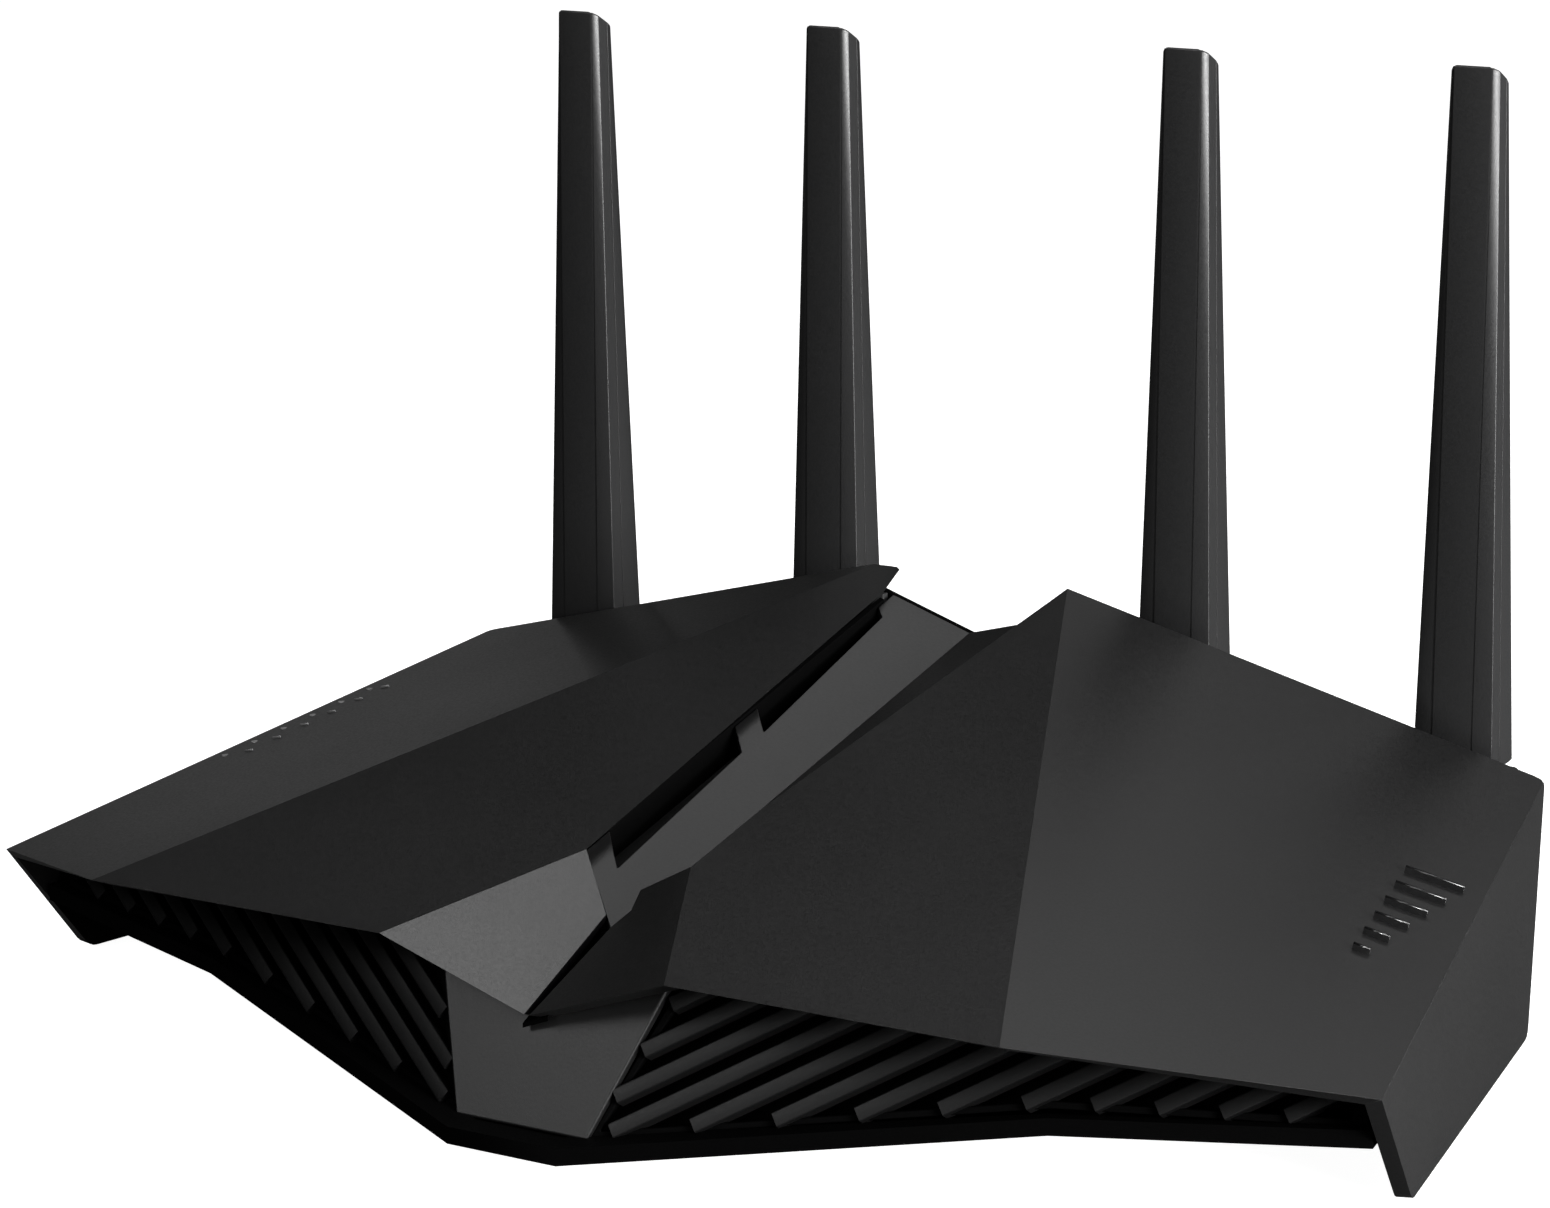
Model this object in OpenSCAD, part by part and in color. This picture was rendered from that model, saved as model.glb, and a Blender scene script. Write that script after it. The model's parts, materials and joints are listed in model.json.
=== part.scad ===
// Wireless router: a faceted housing on two folded end plates, louvred front
// walls either side of a nose, a sunken channel across the top, and four blade
// antennas on swivelling, folding knuckles along the back.
// Millimetres. The origin is at the middle of the footprint, on the table.
// +X is the object's left-to-right width, +Y points to the back, +Z is up.

/* [Housing] */
// Overall width across the top corners of the end plates
body_w = 275.5; // [270:0.5:282]
// Front of the base to the origin
front_reach = 92.4; // [90:0.1:94]
// Wall of the two top covers
cover_t = 1.8; // [1.5:0.1:2.2]
// Thickness of the folded end plates
plate_t = 2.8; // [2:0.1:3.2]
// Height of the deck's front edge
deck_front_z = 32.7; // [32:0.1:33.5]
// Rise of the deck towards the back, in millimetres per millimetre
deck_rise = 0.2327; // [0.225:0.0005:0.24]
// Height of the outer top corners
tip_z = 22.8; // [22:0.1:23.5]
// Height of the beak's point above the nose
beak_z = 22.4; // [21.8:0.1:23]

/* [Front] */
// Slope of the louvre slats
slat_angle = 28.4; // [26:0.2:31]
// Distance from one slat to the next
slat_pitch = 4.8; // [4.4:0.1:5.4]
// Width of the gap between slats
slat_gap = 2; // [1.8:0.1:2.8]
// Turn of each louvre panel away from straight ahead
louvre_yaw = 18.8; // [18.2:0.1:19.2]
// Lean of each louvre panel
louvre_lean = 15.4; // [15:0.1:16]

/* [Antennas] */
// Height of the antenna tips
antenna_top_z = 168.5; // [150:0.5:175]
// Distance of the outer antennas from the middle
antenna_outer_x = 94.25; // [91:0.25:96]
// Distance of the inner antennas from the middle
antenna_inner_x = 37.75; // [36.5:0.25:39]
// Height of the swivel and fold axes
pivot_z = 32; // [31.5:0.1:33]
// Distance of the fold axis behind the middle
pivot_y = 84.2; // [84:0.1:84.4]
// Radius of the knuckle's round end
knuckle_r = 8.2; // [7.8:0.1:8.2]
// Radius of the swivel shaft
shaft_r = 5; // [4.5:0.1:5.4]
// Radius of the hinge pins
pin_r = 1.5; // [1.2:0.1:2]
// Radial clearance of shafts and pins in their bores
fit = 0.05; // [0.03:0.01:0.08]

/* [Sockets and buttons] */
// Width of a network socket's mouth
rj_w = 11.9; // [11.7:0.1:12.2]
// Height of a network socket's mouth
rj_h = 7.6; // [7.2:0.1:8]
// Spacing of the four ganged network sockets
rj_pitch = 13.97; // [13.9:0.01:14.2]
// Radius of the power inlet's mouth
inlet_r = 3.2; // [3:0.05:3.4]
// Radius of the power inlet's centre pin
inlet_pin_r = 1.25; // [1:0.05:1.3]
// Radius of the power button
power_r = 3.6; // [3:0.1:4]
// Radius of the pairing button
pair_r = 2.4; // [2:0.1:2.8]
// Clearance around each button
button_gap = 0.3; // [0.3:0.05:0.5]

/* [Hidden] */
$fn = 48;
shell_black = "#232324";
nose_black = "#3a3a3b";
inner_black = "#151516";
board_green = "#1d4a33";
steel = "#b9bcc0";
rubber_black = "#1a1a1a";
gold = "#b8963e";

// Plan of the housing, right half: the left half mirrors it
tip = [body_w / 2, -52];
back_corner = [114, 71];
peak_y = 65;
brow_y = -86.5;          // front edge of the deck
brow_x = 28;             // where the front edge turns in to the beak
beak_y = -84.5;
beak_back = [10, -50.6]; // rear end of the fold between deck and beak
seam = 0.5;              // half of the seam between the two covers

// A plane is [a, b, c], with z = a x + b y + c
function on(p, x, y) = p[0] * x + p[1] * y + p[2];
deck = [0, deck_rise, deck_front_z - deck_rise * brow_y];
wing_fall = -0.279;
wing_rise = 0.107;
wing = [wing_fall, wing_rise, tip_z - wing_fall * tip[0] - wing_rise * tip[1]];
// the fold between deck and wing, in plan
function fold_x(y) = ((deck[1] - wing[1]) * y + deck[2] - wing[2]) / (wing[0] - deck[0]);
// the beak falls from the deck to its point on the middle line
brow_drop = deck_front_z - beak_z;
fold_drop = on(deck, beak_back[0], beak_back[1]) - beak_z;
fold_dy = beak_back[1] - beak_y;
brow_dy = brow_y - beak_y;
beak_det = brow_x * fold_dy - beak_back[0] * brow_dy;
beak_a = (brow_drop * fold_dy - fold_drop * brow_dy) / beak_det;
beak_b = (brow_x * fold_drop - beak_back[0] * brow_drop) / beak_det;
beak = [beak_a, beak_b, beak_z - beak_b * beak_y];
brow = [fold_x(brow_y), brow_y];
peak = [fold_x(peak_y), peak_y];

// Channel floor: as steep as the deck and tilted sideways
floor_tilt = -0.329;
floor_plane = [floor_tilt, 0.2312, 45.87];
floor_t = 1.8;

// End plate: its outer face leans in towards the back
plate_y = 0.1853;
plate_z = 0.057;
plate_foot_z = 0.4;
function plate_x(y, z) = tip[0] - plate_y * (y - tip[1]) - plate_z * (z - tip_z);

// Base tray levels and outline
tray_t = 2;
tray_z = 0.8;
keel_x = 10.7;
flat_x = 58;
flat_front_y = -45;
kink = [84, -60.7, 9.8];
ledge = [133.5, -45.2, 11.95];
tray_back_y = 60;
rim_h = 3;
nose_foot = [12.9, -86.8, 3.8];
boss_r = 4;
screw_r = 1.45;
front_boss = [50, -47, 2, 12];   // x, y, floor and top
rear_boss = [101, 40, 11.6, 18];
head_r = 3;
head_h = 1.6;

// Rear wall
panel_y = 60;
panel_t = 2.4;

// Circuit board
board_z = 7.4;
board_t = 1.6;
board_x = 66;
board_front_y = -38;
board_back_y = 57;
board_top = board_z + board_t;
post_x = 60;
post_front_y = -30;
post_back_y = 36;

// Places along the rear wall
power_x = 60;
inlet_x = 49;
usb_x = 34.5;
wan_x = 15.5;
lan_x = -24;
reset_x = -57;
pair_x = -63.5;
socket_h = 12.6;
socket_d = 16;
socket_face_y = panel_y + 0.3;
rj_z = board_top + 2.2;
button_z = 15;
reset_r = 1;

// Antenna blades
blade_y = 74.5;
blade_foot_z = pivot_z + knuckle_r + 1;
spine_foot_w = 7.8;
spine_top_w = 7.5;
blade_foot_w = 15.4;
blade_top_w = 9.2;
blade_foot_d = 12.2;
blade_top_d = 7.1;
blade_foot_edge = 0.9;
blade_top_edge = 1.4;
tip_fall = 0.5;         // drop of the tip per millimetre of depth
split_d = 4.4;
tongue_w = 8.2;
tongue_r = 7.8;
tongue_gap = 0.35;
knuckle_w = 15;
antenna_x = [-antenna_outer_x, -antenna_inner_x, antenna_inner_x, antenna_outer_x];

// A prism: a flat face, listed anticlockwise from outside, pushed along a vector
module slab(face, push) {
  n = len(face);
  polyhedron(
    points = concat(face, [for (p = face) p + push]),
    faces = concat(
      [[for (i = [n - 1:-1:0]) i]],
      [[for (i = [n:2 * n - 1]) i]],
      [for (i = [0:n - 1]) [i, (i + 1) % n, (i + 1) % n + n, i + n]]),
    convexity = 4);
}

// A sloping sheet over a plan outline, its top on a plane
module sheet(outline, plane, t) {
  slab([for (p = outline) [p[0], p[1], on(plane, p[0], p[1])]], [0, 0, -t]);
}

// A wall hanging from a sloping sheet along one side of its plan
module skirt(a, b, inward, low) {
  slab([
    [a[0], a[1], on(low, a[0], a[1]) + 0.4],
    [b[0], b[1], on(low, b[0], b[1]) + 0.4],
    [b[0], b[1], on(deck, b[0], b[1]) - 0.2],
    [a[0], a[1], on(deck, a[0], a[1]) - 0.2]], inward);
}

module cover_boss(b, top) {
  translate([b[0], b[1], b[3] + 0.3]) cylinder(h = top - b[3] - 0.3, r = boss_r);
}

module cover_pilot(b) {
  translate([b[0], b[1], b[3] - 1]) cylinder(h = 14, r = screw_r + fit);
}

module end_plate() {
  slab([
    [plate_x(tip[1], tip_z), tip[1], tip_z],
    [plate_x(-34, plate_foot_z), -34, plate_foot_z],
    [plate_x(53.5, plate_foot_z), 53.5, plate_foot_z],
    [back_corner[0], back_corner[1], on(wing, back_corner[0], back_corner[1])]],
    [-plate_t, 0, 0]);
}

// One cover, right-handed, with its own inner edge along deck and beak
module cover(deck_edge, beak_edge) {
  sheet([brow, tip, back_corner, peak], wing, cover_t);
  sheet(concat([[brow_x, brow_y], brow, peak], deck_edge, [beak_back]), deck, cover_t);
  sheet(concat([[brow_x, brow_y], beak_back], beak_edge), beak, cover_t);
  end_plate();
  cover_boss(front_boss, on(deck, front_boss[0], front_boss[1]) - 1);
  cover_boss(rear_boss, on(wing, rear_boss[0], rear_boss[1]) - 1.5);
}

channel_right = [[18.5, 50], [12.4, 43]];
channel_left = [[14.4, 65.3], [12.6, 54.4]];
lens_count = 6;
lens_pitch = 7.5;
lens_r = 0.8;
function lens_place(i) = [
  -plate_x(lens_pitch * i - 4.4, 30) + 5.2, lens_pitch * i - 4.4];

module left_cover() {
  color(shell_black) difference() {
    mirror([1, 0, 0]) cover(channel_left, [[seam, -59.7], [seam, beak_y]]);
    for (i = [0:lens_count - 1]) {
      translate([lens_place(i)[0], lens_place(i)[1], 20]) cylinder(h = 30, r = lens_r + fit);
    }
    mirror([1, 0, 0]) cover_pilot(front_boss);
    mirror([1, 0, 0]) cover_pilot(rear_boss);
  }
}

module right_cover() {
  color(shell_black) difference() {
    union() {
      cover(channel_right, [[2.7, -54], [4.6, -59.9], [2.8, -63], [seam, beak_y]]);
      skirt([12.4, 43], [10.4, -48], [1.6, 0, 0], floor_plane);
      skirt([18.5, 50], [12.4, 43], [1.6, 0, 0], floor_plane);
      skirt([20.3, 59.4], [18.5, 50], [1.6, 0, 0], floor_plane);
    }
    cover_pilot(front_boss);
    cover_pilot(rear_boss);
  }
}

// Sunken strip between the covers, notched by two long light slots
module centre_spine() {
  color(nose_black) intersection() {
    sheet([[-20, -70], [30, -70], [30, 70], [-20, 70]], floor_plane, floor_t);
    linear_extrude(80) polygon([
      [0.9, -60.6], [2.8, -62.4], [7, -61.5], [12, -50], [14, 42.5],
      [20.5, 50], [21.4, 59.3], [-13.2, 59.3],
      [-13.2, 53.5], [-11.1, 51.3], [-8.6, 4.6], [-13.2, 9.9],
      [-13.2, 2.1], [-8.4, -3.4], [-6.7, -46.6], [-13.2, -39.1],
      [-13.2, -47.5], [-9.1, -50.7]]);
  }
}

module light_bar() {
  color("#5a5a5c") sheet([
    [-4.5, -50], [-4.5, 54], [-12.6, 54], [-12.6, -46.5]],
    floor_plane - [0, 0, floor_t + 3], 2.4);
}

module light_board() {
  color(board_green) sheet([
    [-5, -48], [-5, 53], [-12.4, 53], [-12.4, -45]],
    floor_plane - [0, 0, floor_t + 6.8], 1.2);
}

// The nose leans back from the base to the beak
nose_lean = 22.6;
nose_t = 1.7;

module nose_panel() {
  color(nose_black) translate([0, nose_foot[1], nose_foot[2]]) rotate([90 - nose_lean, 0, 0])
    translate([0, 0, -nose_t]) linear_extrude(nose_t) polygon([
      [-nose_foot[0], 0.8], [nose_foot[0], 0.8], [22.8, 28.6], [0, 18.4], [-22.8, 28.6]]);
}

// Louvre panels: a flat frame filled with slanting slats
louvre_t = 3;
louvre_edge = [[1.4, 0.9], [76, 11], [126.6, 11.5], [126.6, 18.4], [78, 32.6], [16.2, 29]];
louvre_hole = [[3.2, 2.2], [75.9, 12.1], [124, 12.6], [124, 16.8], [77.6, 30.6], [16.6, 27.6]];

module louvre() {
  translate(nose_foot) rotate([90 - louvre_lean, 0, louvre_yaw]) {
    difference() {
      translate([0, 0, -louvre_t]) linear_extrude(louvre_t) polygon(louvre_edge);
      intersection() {
        translate([0, 0, -louvre_t - 1]) linear_extrude(louvre_t + 2) polygon(louvre_hole);
        for (i = [-12:7]) {
          rotate([0, 0, slat_angle])
            translate([-10, i * slat_pitch, -louvre_t - 1])
              cube([170, slat_gap, louvre_t + 2]);
        }
      }
    }
  }
}

module right_louvre() {
  color(inner_black) louvre();
}

module left_louvre() {
  color(inner_black) mirror([1, 0, 0]) louvre();
}

// Base tray
side_fall = (kink[2] - tray_z) / (kink[0] - flat_x);
tray_side = [side_fall, 0, tray_z - side_fall * flat_x + tray_t];
outer_fall = (ledge[2] - kink[2]) / (ledge[0] - kink[0]);
tray_outer = [outer_fall, 0, kink[2] - outer_fall * kink[0] + tray_t];
tray_side_x = plate_x(tray_back_y, 12) - plate_t - 0.5;

module tray_rim(a, b) {
  slab([a, b, b + [0, 0, rim_h], a + [0, 0, rim_h]], [-0.4, 2.2, 0]);
}

module tray_ledge(a, b, depth_a, depth_b) {
  up = [0, 0, rim_h];
  slab([a + up, b + up, b + up + [-0.4, 1, 0] * depth_b, a + up + [-0.4, 1, 0] * depth_a],
    [0, 0, -1.6]);
}

module tray_half() {
  keel = [keel_x, -front_reach, tray_z];
  slab([keel + [0, 0, tray_t], kink + [0, 0, tray_t], [flat_x, flat_front_y, tray_z + tray_t]],
    [0, 0, -tray_t]);
  sheet([[flat_x, flat_front_y], [kink[0], kink[1]], [kink[0], tray_back_y],
    [flat_x, tray_back_y]], tray_side, tray_t);
  sheet([[kink[0], kink[1]], [ledge[0], ledge[1]], [tray_side_x, tray_back_y],
    [kink[0], tray_back_y]], tray_outer, tray_t);
  tray_rim(keel, kink);
  tray_rim(kink, ledge);
  tray_ledge(keel, kink, 5.4, 2.2);
  tray_boss(front_boss);
  tray_boss(rear_boss);
  for (y = [post_front_y, post_back_y]) {
    translate([post_x - 8, y, tray_z + 1]) cylinder(h = board_z - tray_z - 1, r = 3);
  }
}

module tray_boss(b) {
  translate([b[0], b[1], b[2]]) cylinder(h = b[3] - b[2], r = boss_r);
}

module tray_holes() {
  for (b = [front_boss, rear_boss]) {
    translate([b[0], b[1], -1]) cylinder(h = 30, r = screw_r + 0.3);
    translate([b[0], b[1], -1]) cylinder(h = b[2] + 1 + 1.2 + head_h, r = head_r + 0.3);
  }
  for (y = [post_front_y, post_back_y]) {
    translate([post_x - 8, y, tray_z + 1.6]) cylinder(h = 10, r = 1.05);
  }
  for (x = [8:7:43]) {
    translate([x, -20, -1]) cube([3, 52, 6]);
  }
  translate([32, -62, tray_z - 1]) cylinder(h = 1.5, r = 5.2);
  translate([50, 50, tray_z - 1]) cylinder(h = 1.5, r = 5.2);
}

module base_tray() {
  color(inner_black) difference() {
    union() {
      translate([0, 0, tray_z]) linear_extrude(tray_t) polygon([
        [-keel_x, -front_reach], [keel_x, -front_reach], [flat_x, flat_front_y],
        [flat_x, tray_back_y], [-flat_x, tray_back_y], [-flat_x, flat_front_y]]);
      translate([-keel_x, -front_reach, tray_z]) cube([2 * keel_x, 2.2, rim_h]);
      translate([-keel_x, -front_reach, tray_z + rim_h - 1.6]) cube([2 * keel_x, 5.4, 1.6]);
      tray_half();
      mirror([1, 0, 0]) tray_half();
    }
    tray_holes();
    mirror([1, 0, 0]) tray_holes();
  }
}

// Rear wall with its openings
module panel_hole(x, z, w, h) {
  translate([x - w / 2 - 0.3, panel_y - panel_t - 1, z - 0.3])
    cube([w + 0.6, panel_t + 2, h + 0.6]);
}

module panel_bore(x, z, r) {
  translate([x, panel_y - panel_t - 1, z]) rotate([-90, 0, 0])
    cylinder(h = panel_t + 2, r = r);
}

module rear_panel() {
  low = 0.3;
  outer_x = tray_side_x - 1;
  color(inner_black) difference() {
    translate([0, panel_y, 0]) rotate([90, 0, 0]) linear_extrude(panel_t) polygon([
      [-outer_x, on(tray_outer, outer_x, 0) + low], [-kink[0], kink[2] + tray_t + low],
      [-flat_x, tray_z + tray_t + low], [flat_x, tray_z + tray_t + low],
      [kink[0], kink[2] + tray_t + low], [outer_x, on(tray_outer, outer_x, 0) + low],
      [outer_x, on(wing, outer_x, panel_y - panel_t) - cover_t - low],
      [fold_x(panel_y) + 1, on(deck, 0, panel_y - panel_t) - cover_t - low - 0.4],
      [22.4, 49.6], [-14.5, 61.7], [-14.5, on(deck, 0, panel_y - panel_t) - cover_t - low],
      [-fold_x(panel_y), on(deck, 0, panel_y - panel_t) - cover_t - low],
      [-outer_x, on(wing, outer_x, panel_y - panel_t) - cover_t - low]]);
    panel_hole(lan_x, board_top, 4 * rj_pitch + 1.6, socket_h);
    panel_hole(wan_x, board_top, 16, socket_h);
    panel_hole(usb_x, board_top, 14.5, 7);
    panel_bore(inlet_x, 15, 4.7);
    panel_bore(power_x, button_z, power_r + button_gap);
    panel_bore(pair_x, button_z, pair_r + button_gap);
    panel_bore(reset_x, button_z, reset_r + button_gap);
    for (x = antenna_x) {
      panel_bore(x, pivot_z, 7);
    }
    for (side = [-1, 1], i = [0:5]) {
      translate([side * (67 + 4.5 * i) - 1, panel_y - panel_t - 1, 15.5]) cube([2, panel_t + 2, 6]);
    }
  }
}

// Inside
module main_board() {
  color(board_green) difference() {
    translate([-board_x, board_front_y, board_z])
      cube([2 * board_x, board_back_y - board_front_y, board_t]);
    for (x = [8 - post_x, post_x - 8], y = [post_front_y, post_back_y]) {
      translate([x, y, board_z - 1]) cylinder(h = board_t + 2, r = 1.4);
    }
  }
}

module board_screws() {
  color(steel) for (x = [8 - post_x, post_x - 8], y = [post_front_y, post_back_y]) {
    translate([x, y, board_top]) cylinder(h = 1.4, r = 2.4);
    translate([x, y, board_top - 5.6]) cylinder(h = 6, r = 1);
  }
}

pad_t = 1;
chip_w = 44;
module thermal_pad() {
  color("#8d99a6") translate([-chip_w / 2, -22, board_top]) cube([chip_w, 34, pad_t]);
}

module heat_sink() {
  color(steel) translate([-30, -27, board_top + pad_t]) {
    cube([60, 44, 3]);
    for (i = [0:9]) {
      translate([i * 6.4, 0, 2]) cube([2.4, 44, 14]);
    }
  }
}

module shield_cans() {
  color(steel) for (x = [-48, 48]) {
    translate([x - 12, -16, board_top]) difference() {
      cube([24, 30, 3.2]);
      translate([0.4, 0.4, -1]) cube([23.2, 29.2, 3.8]);
    }
  }
}

// A network socket's mouth and its latch slot, opening to the back
module rj_mouth(x) {
  translate([x - rj_w / 2, socket_face_y - 13, rj_z]) cube([rj_w, 14, rj_h]);
  translate([x - 3.1, socket_face_y - 13, rj_z + rj_h - 0.1]) cube([6.2, 14, 2]);
}

module socket_block(x, w) {
  translate([x - w / 2, socket_face_y - socket_d, board_top]) cube([w, socket_d, socket_h]);
}

module lan_sockets() {
  color(steel) difference() {
    socket_block(lan_x, 4 * rj_pitch + 1.6);
    for (i = [-1.5:1:1.5]) {
      rj_mouth(lan_x + i * rj_pitch);
    }
  }
}

module wan_socket() {
  color(steel) difference() {
    socket_block(wan_x, 16);
    rj_mouth(wan_x);
  }
}

module usb_socket() {
  color(steel) {
    difference() {
      translate([usb_x - 7.25, socket_face_y - 14, board_top]) cube([14.5, 14, 7]);
      translate([usb_x - 6.55, socket_face_y - 11.5, board_top + 0.6]) cube([13.1, 12, 5.8]);
    }
    translate([usb_x - 5.5, socket_face_y - 12, board_top + 3.4]) cube([11, 10.6, 1.9]);
  }
}

module power_inlet() {
  color(rubber_black) difference() {
    union() {
      translate([inlet_x - 4.8, panel_y - panel_t - 0.3 - 12, board_top]) cube([9.6, 12, 11]);
      translate([inlet_x, panel_y - panel_t - 1, 15]) rotate([-90, 0, 0])
        cylinder(h = panel_t + 1.3, r = 4.4);
    }
    translate([inlet_x, socket_face_y - 10, 15]) rotate([-90, 0, 0])
      cylinder(h = 12, r = inlet_r);
  }
  color(gold) translate([inlet_x, socket_face_y - 11, 15]) rotate([-90, 0, 0])
    cylinder(h = 10, r = inlet_pin_r);
}

module power_switch() {
  color(inner_black) translate([power_x - 4, 34, board_top]) cube([8, 10, 9.6]);
}

module tact_switches() {
  color(inner_black) for (x = [reset_x, pair_x]) {
    translate([x - 2.4, 42, board_top]) cube([4.8, 4, 8.4]);
  }
}

module button(x, r, face_y, back_y) {
  translate([x, back_y, button_z]) rotate([-90, 0, 0]) cylinder(h = face_y - back_y, r = r);
  translate([x, panel_y - panel_t - 2.1, button_z]) rotate([-90, 0, 0])
    cylinder(h = 1.6, r = r + 0.9);
}

module power_button() {
  color(shell_black) button(power_x, power_r, panel_y + 2.6, 47);
}

module pair_button() {
  color(shell_black) button(pair_x, pair_r, panel_y + 1.4, 48.2);
}

module reset_button() {
  color("#8c2f2a") button(reset_x, reset_r, panel_y - 0.8, 48.2);
}

module status_lenses() {
  color("#cfd2d4") for (i = [0:lens_count - 1]) {
    p = lens_place(i);
    translate([p[0], p[1], on(wing, -p[0], p[1]) - 5]) cylinder(h = 5.1, r = lens_r);
  }
}

module rubber_feet() {
  color(rubber_black) for (x = [-1, 1], p = [[32, -62], [50, 50]]) {
    translate([x * p[0], p[1], 0]) cylinder(h = tray_z + 0.5, r = 5);
  }
}

module cover_screws() {
  color(steel) for (side = [-1, 1], b = [front_boss, rear_boss]) {
    translate([side * b[0], b[1], b[2] + 1.2]) cylinder(h = head_h, r = head_r);
    translate([side * b[0], b[1], b[2] + 1.3]) cylinder(h = b[3] - b[2] + 9, r = screw_r);
  }
}

// Flanged bushes that carry the antenna knuckles in the rear wall
module swivel_sockets() {
  color(inner_black) for (x = antenna_x) {
    translate([x, 0, pivot_z]) rotate([-90, 0, 0]) difference() {
      union() {
        translate([0, 0, 54.2]) cylinder(h = 7, r = 6.95);
        translate([0, 0, panel_y]) cylinder(h = 2.4, r = 8.4);
      }
      translate([0, 0, 50]) cylinder(h = 20, r = shaft_r + fit);
    }
  }
}

// Coaxial leads: from each knuckle's shaft forwards, then down to the board
lead_r = 0.9;
lead_y = 41;
function lead_x(i) = sign(antenna_x[i]) * min(abs(antenna_x[i]), 52);

module antenna_leads() {
  color(inner_black) for (i = [0:3]) {
    x = antenna_x[i];
    foot = lead_x(i);
    translate([x, lead_y, pivot_z]) rotate([-90, 0, 0]) cylinder(h = 48.6 - lead_y, r = lead_r);
    translate([x, lead_y, pivot_z]) sphere(r = lead_r + 0.2);
    if (abs(x - foot) > 1) {
      translate([min(x, foot), lead_y, pivot_z]) rotate([0, 90, 0])
        cylinder(h = abs(x - foot), r = lead_r);
      translate([foot, lead_y, pivot_z]) sphere(r = lead_r + 0.2);
    }
    translate([foot, lead_y, board_top + 2.2])
      cylinder(h = pivot_z - board_top - 2.2, r = lead_r);
  }
}

module lead_plugs() {
  color(gold) for (i = [0:3]) {
    translate([lead_x(i), lead_y, board_top]) cylinder(h = 2.2, r = 1.8);
  }
}

// Antennas
module antenna_knuckle(k) {
  color(shell_black) translate([antenna_x[k], 0, pivot_z]) difference() {
    union() {
      rotate([-90, 0, 0]) translate([0, 0, 49.2]) cylinder(h = 15, r = shaft_r);
      rotate([-90, 0, 0]) translate([0, 0, 62.8]) cylinder(h = 5.4, r = 7.5);
      translate([-knuckle_w / 2, 66, -knuckle_r]) cube([knuckle_w, pivot_y - 66, 2 * knuckle_r]);
      translate([-knuckle_w / 2, pivot_y, 0]) rotate([0, 90, 0])
        cylinder(h = knuckle_w, r = knuckle_r);
    }
    rotate([-90, 0, 0]) translate([0, 0, 51]) difference() {
      cylinder(h = 1.4, r = shaft_r + 1);
      translate([0, 0, -1]) cylinder(h = 4, r = shaft_r - 0.8);
    }
    translate([-tongue_w / 2 - tongue_gap, pivot_y, 0]) rotate([0, 90, 0])
      cylinder(h = tongue_w + 2 * tongue_gap, r = tongue_r + 0.5);
    translate([-tongue_w / 2 - tongue_gap, pivot_y, -10])
      cube([tongue_w + 2 * tongue_gap, 12, 20]);
    translate([-tongue_w / 2 - tongue_gap, pivot_y - 6, 0])
      cube([tongue_w + 2 * tongue_gap, 8, 12]);
    translate([-10, pivot_y, 0]) rotate([0, 90, 0]) cylinder(h = 20, r = pin_r);
  }
}

module antenna_clip(k) {
  color(steel) translate([antenna_x[k], 51, pivot_z]) rotate([-90, 0, 0]) difference() {
    cylinder(h = 1.4, r = 6.6);
    translate([0, 0, -1]) cylinder(h = 4, r = shaft_r - 0.8);
  }
}

module antenna_pin(k) {
  color(steel) translate([antenna_x[k] - knuckle_w / 2, pivot_y, pivot_z]) rotate([0, 90, 0])
    cylinder(h = knuckle_w, r = pin_r);
}

// A solid between two rings of points, with triangular sides
module loft(low, high) {
  n = len(low);
  polyhedron(
    points = concat(low, high),
    faces = concat(
      [[for (i = [0:n - 1]) i]],
      [[for (i = [2 * n - 1:-1:n]) i]],
      [for (i = [0:n - 1]) [(i + 1) % n, i, i + n]],
      [for (i = [0:n - 1]) [(i + 1) % n, i + n, (i + 1) % n + n]]),
    convexity = 2);
}

// Outline of a blade half at its foot or its top
function front_ring(spine_w, w, edge, z, fall) = [
  [-spine_w / 2, 0, z], [spine_w / 2, 0, z], [w / 2, edge, z - fall * edge],
  [w / 2, split_d, z - fall * split_d], [-w / 2, split_d, z - fall * split_d],
  [-w / 2, edge, z - fall * edge]];
function back_ring(w, d, z, fall) = [
  [-w / 2, split_d, z - fall * split_d], [w / 2, split_d, z - fall * split_d],
  [w / 2, d, z - fall * d], [-w / 2, d, z - fall * d]];
blade_h = antenna_top_z - blade_foot_z;

module blade_front() {
  loft(front_ring(spine_foot_w, blade_foot_w, blade_foot_edge, 0, 0),
    front_ring(spine_top_w, blade_top_w, blade_top_edge, blade_h, tip_fall));
}

module blade_rear() {
  loft(back_ring(blade_foot_w, blade_foot_d, 0, 0),
    back_ring(blade_top_w, blade_top_d, blade_h, tip_fall));
}

lead_board_w = 6.4;
lead_board_h = 104;

module antenna_front(k) {
  color(shell_black) translate([antenna_x[k], blade_y, blade_foot_z]) blade_front();
}

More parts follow.
